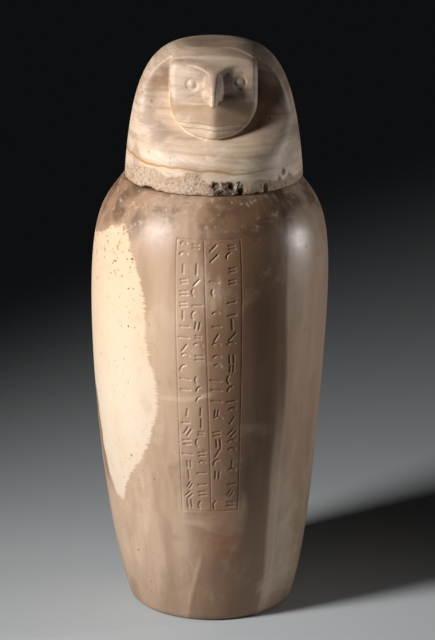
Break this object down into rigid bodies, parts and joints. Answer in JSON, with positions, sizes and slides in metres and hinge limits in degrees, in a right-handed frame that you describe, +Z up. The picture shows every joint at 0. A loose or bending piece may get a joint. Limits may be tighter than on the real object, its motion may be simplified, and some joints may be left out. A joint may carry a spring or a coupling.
{
  "type": "canopic jar",
  "caption": "Hollow shouldered stone jar with a falcon-headed lid that lifts off, and a framed inscription panel on its front",
  "frame": {"origin": "middle of the jar's foot, on the surface it stands on", "axes": "+Z up along the jar, the falcon's face and the inscription look towards -Y, +X is to the viewer's right"},
  "size_m": [0.1761, 0.176, 0.43],
  "materials": {
    "jar_stone": "smooth veined travertine, worn, with a pale chalky patch",
    "lid_stone": "smooth banded travertine with a rough pitted edge"
  },
  "bodies": {
    "root": {"jar": "jar_stone", "lid": "lid_stone"}
  },
  "joints": []
}
